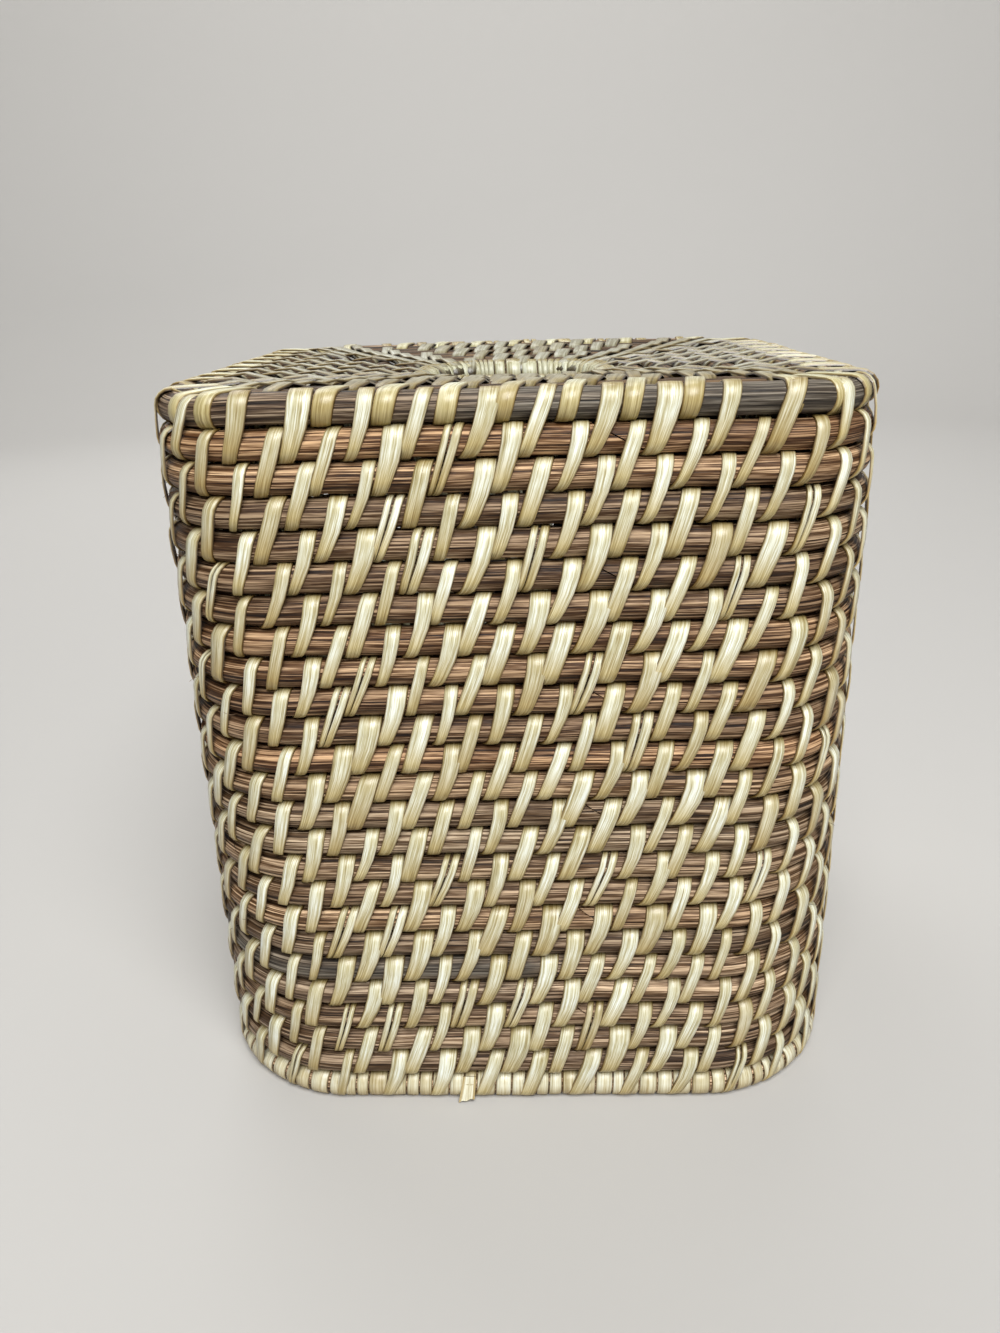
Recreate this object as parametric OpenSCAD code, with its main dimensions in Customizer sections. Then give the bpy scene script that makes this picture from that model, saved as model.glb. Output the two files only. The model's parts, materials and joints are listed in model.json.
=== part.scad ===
// Square tissue box cover of coiled rattan. Every course is one bent rod whose ends meet in a
// scarf, laid beside the last one and bound to it with strips of split cane. The courses run
// round the opening, out across the top, over the edge and down the four walls. The cover is
// open underneath and stands on its whipped base rim. Origin at the middle of the base, Z up,
// millimetres.

/* [Cover] */
// Width over the bindings at the uppermost wall course
top_w = 135; // [120:1:160]
// Width over the bindings at the foot, where the walls have spread a little
foot_w = 141.2; // [121:0.2:165]
// Height from the surface it stands on to the top of the bindings
body_h = 152.5; // [120:0.5:175]
// Clear width of the opening for the tissues
opening_w = 36; // [34:0.5:48]
// How far the rim of the opening lies below the edge of the top
top_dish = 2.3; // [0:0.1:4]

/* [Rods] */
// Diameter of the rattan rods
rod_d = 5.1; // [4.8:0.1:6]
// Least gap between two neighbouring rods, where the binding strips pass through
course_gap = 0.98; // [0.96:0.02:1.3]
// Width of the slit between the two ends of a rod at its scarf
scarf_gap = 0.25; // [0.1:0.05:0.4]
// Angle between the scarf and the rod in degrees
scarf_angle = 28; // [22:1:50]

/* [Corners] */
// Bend radius of the rod's centre line at the corners of the uppermost wall course
edge_corner_r = 16.3; // [14:0.1:20]
// Bend radius at the corners of the lowest course
foot_corner_r = 29.3; // [20:0.1:34]
// Bend radius at the corners of the opening's rod
opening_corner_r = 15; // [12:0.5:17]

/* [Binding strips] */
// Thickness of the split cane strip
strip_t = 0.4; // [0.3:0.05:0.42]
// Space between a strip and the rod inside it
strip_clear = 0.28; // [0.26:0.01:0.3]
// Width of the strips that bind the straight parts of the walls
wall_strip_w = 2.8; // [2:0.1:2.8]
// Width of the strips where the rods of the walls bend
bend_strip_w = 2.2; // [1.8:0.1:2.2]
// Width of the strips that bind the top
top_strip_w = 2.2; // [1.8:0.1:2.4]
// Lean of a binding to the right, in degrees from straight across the rods
strip_lean = 9.5; // [6:0.5:10]
// Number of bindings in one round of the walls
stitches = 46; // [38:4:46]

/* [Whipped rims] */
// Number of turns of strip between two bindings on the base rim
base_turns = 3; // [1:1:4]
// Width of one turn of strip on the rim of the opening
turn_w = 3.8; // [2.5:0.1:5]
// Gap between two turns, and depth of the groove between them on the base rim
turn_gap = 0.15; // [0.05:0.01:0.2]
// Free space between a binding and the whipping beside it
whip_gap = 1; // [0.95:0.05:1.2]
// Depth of the flat on which the base rim stands
foot_flat = 0.3; // [0.1:0.05:0.35]

/* [Hidden] */
rod_r = rod_d / 2;
bind_r = rod_r + strip_clear;
wrap_r = bind_r + strip_t;
// The flat of a strip between two rods lies this far inside the turns round them
strap_draw = strip_t / 2;
// Centre lines of the rods: half widths in plan and heights
edge_a = top_w / 2 - wrap_r;
foot_a = foot_w / 2 - wrap_r;
rim_a = opening_w / 2 + wrap_r;
edge_z = body_h - wrap_r;
foot_z = wrap_r - foot_flat;
rim_z = edge_z - top_dish;
least_pitch = rod_d + course_gap;
wall_steps = floor((edge_z - foot_z) / least_pitch);
top_steps = floor((edge_a - rim_a) / least_pitch);
// Courses are counted from the opening outwards and down
rim_course = 0;
edge_course = top_steps;
foot_course = top_steps + wall_steps;
// Each round of bindings starts this share of a stitch to the left of the one before
stagger_share = -0.43;
// The walls' first round passes the diagonal of the first corner by this share of a stitch
first_share = -0.355;
// Where a corner of the top has two bindings, each stands this many degrees into the bend
pair_heading = 30;
rounds_per_group = 2;
// Each rod's scarf lies on the next side from the last one's, this share of a side off centre
scarf_share = 0.4;
// Rods are bent to sizes in whole hundredths
size_step = 0.01;
rod_facets = 48;
bend_facets = 72;
overrun = 1;

function two_digits(n) = n < 10 ? str("0", n) : str(n);
function top_name(k) = str("top_course_", k);
function wall_name(k) = str("wall_course_", two_digits(k - edge_course + 1));
function group_name(g) = str("wall_lashings_", two_digits(g));
group_count = ceil(wall_steps / rounds_per_group);

// Half width, corner radius and height of the centre line of course k
function stepped(v) = round(v / size_step) * size_step;
function part_way(from, to, share) = stepped(from + (to - from) * share);
function wall_share(k) = (k - edge_course) / wall_steps;
function half_w(k) = k < edge_course
    ? part_way(rim_a, edge_a, k / top_steps)
    : part_way(edge_a, foot_a, wall_share(k));
function corner_r(k) = k < edge_course
    ? part_way(opening_corner_r, edge_corner_r, k / top_steps)
    : part_way(edge_corner_r, foot_corner_r, wall_share(k));
function height(k) = k < edge_course
    ? part_way(rim_z, edge_z, min(1, k / (edge_course - 1)))
    : part_way(edge_z, foot_z, wall_share(k));

// Runs along course k: half a straight side, one corner, and a quarter of the way round
function half_side(k) = half_w(k) - corner_r(k);
function arc(r, degrees) = r * degrees * PI / 180;
function quarter(k) = 2 * half_side(k) + arc(corner_r(k), 90);

// Direction of course k and its point in plan, a run of s past the middle of the front. Past
// the bend both go on along half of the right side.
function side_heading(k, s) =
    s < half_side(k) ? 0
    : min(90, (s - half_side(k)) / corner_r(k) * 180 / PI);
function side_point(k, s) = let (h = side_heading(k, s), flat = half_side(k), r = corner_r(k))
    s < flat ? [s, -half_w(k), height(k)]
    : s < quarter(k) - flat ? [flat + r * sin(h), -flat - r * cos(h), height(k)]
    : [half_w(k), s - quarter(k), height(k)];

// Which quarter a longer run ends in, and how far along it
function side_number(k, run) = floor(run / quarter(k));
function side_run(k, run) = run - side_number(k, run) * quarter(k);

// Distance from the middle of the cover to course k, measured square to the direction h
function spread(k, h) = half_side(k) * (sin(h) + cos(h)) + corner_r(k);

// The slit of a scarf, through a rod along X at the origin and slanting along it
module scarf() {
    slit_l = rod_d / sin(scarf_angle) + 2 * rod_d;
    rotate([0, scarf_angle, 0])
        cube([slit_l, rod_d + 2 * overrun, scarf_gap], center = true);
}

module course(k) {
    flat = half_side(k);
    scarf_side = k % 4;
    difference() {
        translate([0, 0, height(k)])
            for (side = [0:3])
                rotate([0, 0, 90 * side]) {
                    translate([-flat, -half_w(k), 0])
                        rotate([0, 90, 0])
                            cylinder(r = rod_r, h = 2 * flat, $fn = rod_facets);
                    translate([flat, -flat, 0])
                        rotate([0, 0, -90])
                            rotate_extrude(angle = 90, $fn = bend_facets)
                                translate([corner_r(k), 0])
                                    circle(r = rod_r, $fn = rod_facets);
                }
        rotate([0, 0, 90 * scarf_side])
            translate([flat * scarf_share, -half_w(k), height(k)])
                scarf();
    }
}

// Outline round two rods that stand reach apart
module round_two(r, reach) {
    for (y = [-reach, reach] / 2)
        translate([y, 0])
            circle(r = r, $fn = rod_facets);
    square([reach, 2 * (r - strap_draw)], center = true);
}

// A closed binding round course k and the next one, at a point of course k and square to the
// direction h. It leans to the right by the angle given.
module binding(k, at, h, lean, strip_w) {
    out = spread(k + 1, h) - spread(k, h);
    fall = height(k) - height(k + 1);
    reach = norm([out, fall]);
    translate(at)
        rotate([0, 0, h])
            rotate([atan2(fall, out), 0, 0])
                translate([0, -reach / 2, 0])
                    rotate([0, 0, -lean])
                        rotate([90, 0, 90])
                            linear_extrude(height = strip_w, center = true)
                                difference() {
                                    round_two(wrap_r, reach / cos(lean));
                                    round_two(bind_r, reach / cos(lean));
                                }
}

// Share of a stitch by which round k starts past the middle of the front
function start(k) = stitches / 8 + first_share + stagger_share * (k - edge_course);
function stitch_pitch(k) = 4 * quarter(k) / stitches;
function round_runs(k) = [for (n = [0:stitches - 1]) (n + start(k)) * stitch_pitch(k)];

module wall_round(k) {
    for (run = round_runs(k)) {
        s = side_run(k, run);
        bent = abs(s - quarter(k) / 2) < arc(corner_r(k), 45) + wall_strip_w;
        rotate([0, 0, 90 * side_number(k, run)])
            binding(k, side_point(k, s), side_heading(k, s), strip_lean,
                bent ? bend_strip_w : wall_strip_w);
    }
}

// How far a leaning binding has moved to the right where it goes round the inner or upper rod
function lean_shift(k) =
    norm([half_w(k + 1) - half_w(k), height(k) - height(k + 1)]) / 2 * tan(strip_lean);

// The bindings go on across the top in the same columns. Along one side they stand at these
// places of course k, as far as it is straight.
function column_places(k, side) = let (
        pitch = stitch_pitch(edge_course),
        last = half_side(k) - top_strip_w / 2 - lean_shift(k),
        first = start(k) - side * stitches / 4
    ) [for (n = [ceil(-last / pitch - first):floor(last / pitch - first)]) (n + first) * pitch];

// In the corner after a side there are two bindings or one, in turn from round to round
function corner_headings(k, side) = (edge_course - 1 - k + side) % 2 == 1
    ? [pair_heading, 90 - pair_heading]
    : [45];
// The next course bends round another middle, so a binding square to both courses meets
// course k this much further round the bend
function heading_shift(k, h) =
    asin(sqrt(2) * (half_side(k + 1) - half_side(k)) * sin(45 - h)
        / (corner_r(k) + corner_r(k + 1)));
function corner_places(k, side) = [for (h = corner_headings(k, side))
    half_side(k) + arc(corner_r(k), h + heading_shift(k, h))];

module top_round(k) {
    for (side = [0:3])
        rotate([0, 0, 90 * side]) {
            for (x = column_places(k, side))
                binding(k, [x, -half_w(k), height(k)], 0, strip_lean, top_strip_w);
            for (n = [0:len(corner_headings(k, side)) - 1])
                binding(k, side_point(k, corner_places(k, side)[n]),
                    corner_headings(k, side)[n], 0, top_strip_w);
        }
}

// One turn of strip round course k, between two runs. It is open on the side of the next rod,
// whose own strips fill the gap there. In a bend it is as long as the inside of the bend lets
// it be.
module turn(k, from, to) {
    s = (from + to) / 2;
    bent = s > half_side(k) && s < quarter(k) - half_side(k);
    length = (to - from) * (bent ? 1 - wrap_r / corner_r(k) : 1) - turn_gap;
    translate(side_point(k, s))
        rotate([0, 0, side_heading(k, s)])
            rotate([90, 0, -90])
                linear_extrude(height = length, center = true)
                    difference() {
                        circle(r = wrap_r, $fn = rod_facets);
                        circle(r = bind_r, $fn = rod_facets);
                        translate([rod_r, -wrap_r])
                            square(2 * wrap_r);
                    }
}

// Turns of strip on course k from one run to another, but for the bindings at these places
module turns_between(k, from, to, places) {
    clear = top_strip_w / 2 + whip_gap;
    stops = concat([from - clear], places, [to + clear]);
    for (n = [0:len(places)]) {
        first = stops[n] + clear;
        span = stops[n + 1] - clear - first;
        count = max(0, round(span / turn_w));
        for (m = [0:1:count - 1])
            turn(k, first + span * m / count, first + span * (m + 1) / count);
    }
}

// Turns of strip wound closely round a rod along X, with a groove between each two
module ribbed_sleeve(length) {
    rib_w = length / base_turns;
    rotate([0, 90, 0])
        translate([0, 0, -length / 2])
            rotate_extrude($fn = rod_facets)
                polygon(concat(
                    [[bind_r, 0], [wrap_r, 0]],
                    [for (n = [1:1:base_turns - 1]) each [
                        [wrap_r, n * rib_w - turn_gap],
                        [wrap_r - turn_gap, n * rib_w],
                        [wrap_r, n * rib_w + turn_gap]
                    ]],
                    [[wrap_r, length], [bind_r, length]]
                ));
}

module below_foot() {
    translate([0, 0, -foot_w / 2])
        cube([2 * foot_w, 2 * foot_w, foot_w], center = true);
}

module top_course(k) {
    color([0.60, 0.42, 0.29])
        course(k);
}

module wall_course(k) {
    color([0.58, 0.39, 0.26])
        course(k);
}

// The rounds of bindings on the top are shared between two nodes
inner_rounds = floor((edge_course - 1) / 2);

module inner_top_lashings() {
    color([0.87, 0.80, 0.60])
        for (k = [rim_course:inner_rounds - 1])
            top_round(k);
}

module outer_top_lashings() {
    color([0.87, 0.80, 0.60])
        for (k = [inner_rounds:edge_course - 2])
            top_round(k);
}

module edge_lashings() {
    color([0.88, 0.81, 0.61])
        top_round(edge_course - 1);
}

module wall_lashings(g) {
    first = edge_course + rounds_per_group * (g - 1);
    color([0.88, 0.81, 0.62])
        difference() {
            for (k = [first:min(first + rounds_per_group, foot_course) - 1])
                wall_round(k);
            if (g == group_count)
                below_foot();
        }
}

module opening_whipping() {
    k = rim_course;
    flat = half_side(k);
    color([0.90, 0.84, 0.66])
        for (side = [0:3])
            rotate([0, 0, 90 * side]) {
                turns_between(k, -flat, flat,
                    [for (x = column_places(k, side)) x + lean_shift(k)]);
                // A binding near the end of the side reaches a little way over the bend
                turns_between(k, flat + whip_gap / 2, quarter(k) - flat - whip_gap / 2,
                    corner_places(k, side));
            }
}

module base_whipping() {
    k = foot_course;
    last_round = foot_course - 1;
    pitch = stitch_pitch(k);
    sleeve_l = pitch - wall_strip_w - 2 * whip_gap;
    color([0.88, 0.80, 0.60])
        intersection() {
            for (n = [0:stitches - 1]) {
                run = (n + 0.5 + start(last_round)) * pitch - lean_shift(last_round);
                s = side_run(k, run);
                rotate([0, 0, 90 * side_number(k, run)])
                    translate(side_point(k, s))
                        rotate([0, 0, side_heading(k, s)])
                            ribbed_sleeve(sleeve_l);
            }
            translate([-foot_w, -foot_w, 0])
                cube([2 * foot_w, 2 * foot_w, foot_z + rod_r]);
        }
}

top_course(rim_course);  // opening_rim_rod
for (k = [1:edge_course - 1])
    top_course(k);
for (k = [edge_course:foot_course])
    wall_course(k);
inner_top_lashings();
outer_top_lashings();
edge_lashings();
for (g = [1:group_count])
    wall_lashings(g);
opening_whipping();
base_whipping();
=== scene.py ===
import bpy
import json
import math
import random
from mathutils import Matrix, Vector

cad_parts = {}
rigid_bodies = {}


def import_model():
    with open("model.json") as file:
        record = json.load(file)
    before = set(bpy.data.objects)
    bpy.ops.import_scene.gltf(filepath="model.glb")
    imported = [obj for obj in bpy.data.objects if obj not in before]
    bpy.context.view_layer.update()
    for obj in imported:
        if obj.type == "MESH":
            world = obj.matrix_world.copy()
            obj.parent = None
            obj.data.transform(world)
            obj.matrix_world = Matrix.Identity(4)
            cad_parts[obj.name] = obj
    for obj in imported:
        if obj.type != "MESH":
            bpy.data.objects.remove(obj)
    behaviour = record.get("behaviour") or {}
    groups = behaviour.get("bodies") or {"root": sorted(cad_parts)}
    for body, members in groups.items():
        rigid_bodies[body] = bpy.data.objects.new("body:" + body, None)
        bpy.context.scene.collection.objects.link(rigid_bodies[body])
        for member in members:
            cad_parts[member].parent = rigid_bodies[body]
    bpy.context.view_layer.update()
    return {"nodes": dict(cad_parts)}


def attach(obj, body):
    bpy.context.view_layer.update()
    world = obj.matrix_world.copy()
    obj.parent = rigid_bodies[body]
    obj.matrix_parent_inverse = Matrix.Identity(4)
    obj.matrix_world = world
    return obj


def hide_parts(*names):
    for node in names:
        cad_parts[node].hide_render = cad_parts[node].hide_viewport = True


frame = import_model()
print("frame loaded,", len(frame["nodes"]), "nodes")

mm = 0.001

# the same rule as the solids follow: courses count from the opening, across the top and down
cover = {
    "topWidth": 135.0, "footWidth": 141.2, "bodyHeight": 152.5, "openingWidth": 36.0,
    "dish": 2.3, "wrapRadius": 3.23, "footFlat": 0.3,
    "edgeCorner": 16.3, "footCorner": 29.3, "openingCorner": 15.0,
    "topSteps": 7, "wallSteps": 24, "stitches": 46, "firstShare": -0.355,
    "topStagger": -0.48, "wallStagger": -0.53, "scarfShare": 0.4, "scarfAngle": 28.0,
}
edgeCourse = cover["topSteps"]
footCourse = edgeCourse + cover["wallSteps"]


def between(a, b, share):
    return round(a + (b - a) * share, 2)


def halfWidth(k):
    rim = cover["openingWidth"] / 2 + cover["wrapRadius"]
    edge = cover["topWidth"] / 2 - cover["wrapRadius"]
    foot = cover["footWidth"] / 2 - cover["wrapRadius"]
    if k < edgeCourse:
        return between(rim, edge, k / edgeCourse)
    return between(edge, foot, (k - edgeCourse) / cover["wallSteps"])


def cornerRadius(k):
    if k < edgeCourse:
        return between(cover["openingCorner"], cover["edgeCorner"], k / edgeCourse)
    return between(cover["edgeCorner"], cover["footCorner"], (k - edgeCourse) / cover["wallSteps"])


def courseHeight(k):
    edge = cover["bodyHeight"] - cover["wrapRadius"]
    foot = cover["wrapRadius"] - cover["footFlat"]
    if k < edgeCourse:
        return between(edge - cover["dish"], edge, min(1, k / (edgeCourse - 1)))
    return between(edge, foot, (k - edgeCourse) / cover["wallSteps"])


def halfSide(k):
    return halfWidth(k) - cornerRadius(k)


def quarter(k):
    return 2 * halfSide(k) + cornerRadius(k) * math.pi / 2


def pointOn(k, run):
    # point and heading of course k, a run of so many mm past the middle of the front
    side = math.floor(run / quarter(k))
    s = run - side * quarter(k)
    flat, r = halfSide(k), cornerRadius(k)
    h = 0.0 if s < flat else min(90.0, math.degrees((s - flat) / r))
    if s < flat:
        x, y = s, -halfWidth(k)
    elif s < quarter(k) - flat:
        x, y = flat + r * math.sin(math.radians(h)), -flat - r * math.cos(math.radians(h))
    else:
        x, y = halfWidth(k), s - quarter(k)
    turned = Matrix.Rotation(math.radians(90 * side), 3, "Z") @ Vector((x, y, courseHeight(k)))
    return turned, h + 90 * side


def directions(h):
    a = math.radians(h)
    return Vector((math.cos(a), math.sin(a), 0)), Vector((math.sin(a), -math.cos(a), 0))


def spread(k, h):
    a = math.radians(h % 90)
    return halfSide(k) * (math.sin(a) + math.cos(a)) + cornerRadius(k)


def startShare(k):
    stagger = cover["topStagger"] if k < edgeCourse else cover["wallStagger"]
    return cover["stitches"] / 8 + cover["firstShare"] + stagger * (k - edgeCourse)


# hand-laid rods waver, and the strips round them with them
waver = {
    "rise": 0.17, "out": 0.2, "waves": (5, 11, 19, 31), "outMore": 2, "shares": (0.4, 0.3, 0.2, 0.1), "seed": 5,
}
# the corners of the top edge are drawn in and down: how far, course by course
cornerDraw = {edgeCourse - 1: (0.7, 0.3), edgeCourse: (1.4, 0.6), edgeCourse + 1: (0.3, 0.1)}
waverDice = random.Random(waver["seed"])
waverPhases = [[waverDice.uniform(0, 2 * math.pi) for _ in range(2 * len(waver["waves"]))]
               for _ in range(footCourse + 1)]


def laidPoint(k, run):
    # the point of course k where its rod really lies
    place, h = pointOn(k, run)
    turn = 2 * math.pi * run / (4 * quarter(k))
    phases = waverPhases[k]
    waves = list(zip(waver["waves"], waver["shares"]))
    rise = sum(share * math.sin(wave * turn + phases[n]) for n, (wave, share) in enumerate(waves))
    out = sum(share * math.sin((wave + waver["outMore"]) * turn + phases[n + len(waves)])
              for n, (wave, share) in enumerate(waves))
    if k == footCourse:
        rise = 0.0  # the foot stands flat
    drawnIn, drawnDown = cornerDraw.get(k, (0.0, 0.0))
    bend = math.sin(math.radians(2 * (h % 90))) ** 2
    shift = directions(h)[1] * (out * waver["out"] - drawnIn * bend)
    return place + shift + Vector((0, 0, rise * waver["rise"] - drawnDown * bend)), h


def addNode(tree, kind, spot=(0, 0), **settings):
    node = tree.nodes.new(kind)
    node.location = spot
    for name, value in settings.items():
        setattr(node, name, value)
    return node


def newTree(name, sockets):
    tree = bpy.data.node_groups.new(name, "GeometryNodeTree")
    tree.interface.new_socket("Geometry", in_out="INPUT", socket_type="NodeSocketGeometry")
    for label, kind, value in sockets:
        socket = tree.interface.new_socket(label, in_out="INPUT", socket_type=kind)
        if value is not None:
            socket.default_value = value
    tree.interface.new_socket("Geometry", in_out="OUTPUT", socket_type="NodeSocketGeometry")
    return tree


def plug(tree, socket, value):
    # a number or colour is set on the socket, anything else is linked to it
    if isinstance(value, (int, float)):
        socket.default_value = value
    elif isinstance(value, tuple):
        socket.default_value = (*value, 1)
    else:
        tree.links.new(value, socket)


def readAttribute(tree, name, dataType, spot):
    node = addNode(tree, "GeometryNodeInputNamedAttribute", spot, data_type=dataType)
    node.inputs["Name"].default_value = name
    return node.outputs["Attribute"]


def mathNode(tree, operation, a, b, spot):
    node = addNode(tree, "ShaderNodeMath", spot, operation=operation)
    plug(tree, node.inputs[0], a)
    plug(tree, node.inputs[1], b)
    return node.outputs[0]


def scaled(tree, vector, factor, spot):
    node = addNode(tree, "ShaderNodeVectorMath", spot, operation="SCALE")
    tree.links.new(vector, node.inputs[0])
    plug(tree, node.inputs["Scale"], factor)
    return node.outputs[0]


def combine(tree, x, y, z, spot):
    node = addNode(tree, "ShaderNodeCombineXYZ", spot)
    for socket, value in zip(node.inputs, (x, y, z)):
        plug(tree, socket, value)
    return node.outputs[0]


def moved(tree, geometry, label, value, spot):
    node = addNode(tree, "GeometryNodeSetPosition", spot)
    tree.links.new(geometry, node.inputs["Geometry"])
    tree.links.new(value, node.inputs[label])
    return node.outputs[0]


def finishTree(tree, geometry, material, spot):
    # every tree ends the same way: real geometry with its material
    real = addNode(tree, "GeometryNodeRealizeInstances", spot)
    paint = addNode(tree, "GeometryNodeSetMaterial", (spot[0] + 180, spot[1]))
    end = addNode(tree, "NodeGroupOutput", (spot[0] + 360, spot[1]))
    tree.links.new(geometry, real.inputs[0])
    tree.links.new(real.outputs[0], paint.inputs["Geometry"])
    tree.links.new(material, paint.inputs["Material"])
    tree.links.new(paint.outputs[0], end.inputs[0])


def runTree(name, mesh, tree, values):
    # puts the tree on the mesh, sets its inputs, and returns the result as a plain object
    holder = bpy.data.objects.new(name + "Source", mesh)
    bpy.context.scene.collection.objects.link(holder)
    modifier = holder.modifiers.new(name, "NODES")
    modifier.node_group = tree
    sockets = {item.name: item.identifier for item in tree.interface.items_tree
               if item.item_type == "SOCKET" and item.in_out == "INPUT"}
    for label, value in values.items():
        modifier[sockets[label]] = value
    holder.update_tag()
    bpy.context.view_layer.update()
    graph = bpy.context.evaluated_depsgraph_get()
    result = bpy.data.meshes.new_from_object(holder.evaluated_get(graph), depsgraph=graph)
    holder.modifiers.clear()
    bpy.data.objects.remove(holder)
    bpy.data.meshes.remove(mesh)
    result.name = name
    made = bpy.data.objects.new(name, result)
    bpy.context.scene.collection.objects.link(made)
    return made


def setAttribute(mesh, name, kind, values):
    attribute = mesh.attributes.new(name, kind, "POINT")
    field = {"FLOAT_VECTOR": "vector", "FLOAT_COLOR": "color"}.get(kind, "value")
    flat = [c for v in values for c in v] if field != "value" else list(values)
    attribute.data.foreach_set(field, flat)


def newMaterial(name, roughness, specular):
    material = bpy.data.materials.new(name)
    material.use_nodes = True
    shader = material.node_tree.nodes["Principled BSDF"]
    shader.inputs["Roughness"].default_value = roughness
    shader.inputs["Specular IOR Level"].default_value = specular
    return material, material.node_tree, shader


def ramp(tree, factor, stops, spot):
    node = addNode(tree, "ShaderNodeValToRGB", spot)
    elements = node.color_ramp.elements
    while len(elements) < len(stops):
        elements.new(0.5)
    for element, (place, colour) in zip(elements, stops):
        element.position = place
        element.color = (*colour, 1)
    tree.links.new(factor, node.inputs["Fac"])
    return node.outputs["Color"]


def noise(tree, vector, scale, detail, rough, spot):
    node = addNode(tree, "ShaderNodeTexNoise", spot)
    node.inputs["Scale"].default_value = scale
    node.inputs["Detail"].default_value = detail
    node.inputs["Roughness"].default_value = rough
    tree.links.new(vector, node.inputs["Vector"])
    return node.outputs["Fac"]


def mixColour(tree, mode, factor, a, b, spot):
    node = addNode(tree, "ShaderNodeMix", spot, data_type="RGBA", blend_type=mode)
    for socket, value in ((node.inputs[0], factor), (node.inputs[6], a), (node.inputs[7], b)):
        plug(tree, socket, value)
    return node.outputs[2]


def surfaceAttribute(tree, name, output, spot):
    return addNode(tree, "ShaderNodeAttribute", spot, attribute_name=name).outputs[output]


def addBump(tree, shader, height, distance, strength, spot):
    bump = addNode(tree, "ShaderNodeBump", spot)
    bump.inputs["Strength"].default_value = strength
    bump.inputs["Distance"].default_value = distance
    tree.links.new(height, bump.inputs["Height"])
    tree.links.new(bump.outputs[0], shader.inputs["Normal"])


# cells of grain to the metre, along a rod or strip and across it; depths of the relief in metres
rattanGrain = {
    "roughness": 0.48, "specular": 0.22, "coarse": (22, 1500), "fine": (80, 3800), "patchScale": 0.2,
    "grooveShare": 0.5, "hairShare": 0.5, "stainGain": 2.1, "depth": 0.0004, "relief": 1.0,
}
caneGrain = {
    "roughness": 0.34, "specular": 0.7, "coarse": (55, 1500), "fine": (120, 4600), "lotSpread": 91,
    # the side and rim scales set how far the painted shade reaches up from the strip's underside and in from its
    # edges
    "bandShare": 0.3, "lineShare": 0.7, "contactShadeScale": 2500, "edgeShadeScale": 600, "depth": 0.00014, "relief": 0.7,
}


def weighed(tree, a, shareA, b, shareB, spot):
    x, y = spot
    return mathNode(tree, "ADD", mathNode(tree, "MULTIPLY", a, shareA, (x, y + 80)),
                    mathNode(tree, "MULTIPLY", b, shareB, (x, y - 120)), (x + 180, y))


def rattanMaterial(name, groove, body, ridge):
    # brown rattan core: long grooves that run with the rod, light ridges, grey or dark stains
    grain = rattanGrain
    material, tree, shader = newMaterial(name, grain["roughness"], grain["specular"])
    run = surfaceAttribute(tree, "rodRun", "Fac", (-1500, 300))
    around = addNode(tree, "ShaderNodeSeparateXYZ", (-1320, 0))
    tree.links.new(surfaceAttribute(tree, "rodAround", "Vector", (-1500, 0)), around.inputs[0])

    def grainCells(scales, y):
        along, across = scales
        return combine(tree, mathNode(tree, "MULTIPLY", run, along, (-1140, y)),
                       mathNode(tree, "MULTIPLY", around.outputs[0], across, (-1140, y - 200)),
                       mathNode(tree, "MULTIPLY", around.outputs[1], across, (-1140, y - 400)), (-960, y - 100))

    coarse = grainCells(grain["coarse"], 300)
    fine = grainCells(grain["fine"], -300)
    grooves = noise(tree, coarse, 1.0, 3, 0.6, (-760, 200))
    hairs = noise(tree, fine, 1.0, 3, 0.65, (-760, -100))
    patch = noise(tree, coarse, grain["patchScale"], 3, 0.5, (-760, -400))
    both = weighed(tree, grooves, grain["grooveShare"], hairs, grain["hairShare"], (-560, 120))
    colour = ramp(tree, both, ((0.40, groove), (0.49, body), (0.59, ridge)), (-200, 200))
    colour = mixColour(tree, "MULTIPLY", 1.0, colour, surfaceAttribute(tree, "rodTone", "Color", (-380, -200)),
                       (100, 200))
    uneven = ramp(tree, patch, ((0.35, (0.60, 0.56, 0.54)), (0.5, (1.0, 1.0, 1.0)), (0.66, (1.25, 1.28, 1.30))),
                  (-200, -350))
    colour = mixColour(tree, "MULTIPLY", 1.0, colour, uneven, (280, 100))
    spots = mathNode(tree, "MULTIPLY", surfaceAttribute(tree, "stain", "Fac", (-200, -650)),
                     mathNode(tree, "MULTIPLY", patch, grain["stainGain"], (-200, -800)), (0, -650))
    spots.node.use_clamp = True
    aged = ramp(tree, both, ((0.40, (0.014, 0.011, 0.008)), (0.50, (0.066, 0.052, 0.038)),
                             (0.62, (0.27, 0.235, 0.185))), (100, -450))
    colour = mixColour(tree, "MIX", spots, colour, aged, (460, 100))
    tree.links.new(colour, shader.inputs["Base Color"])
    addBump(tree, shader, both, grain["depth"], grain["relief"], (460, -250))
    return material


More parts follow.
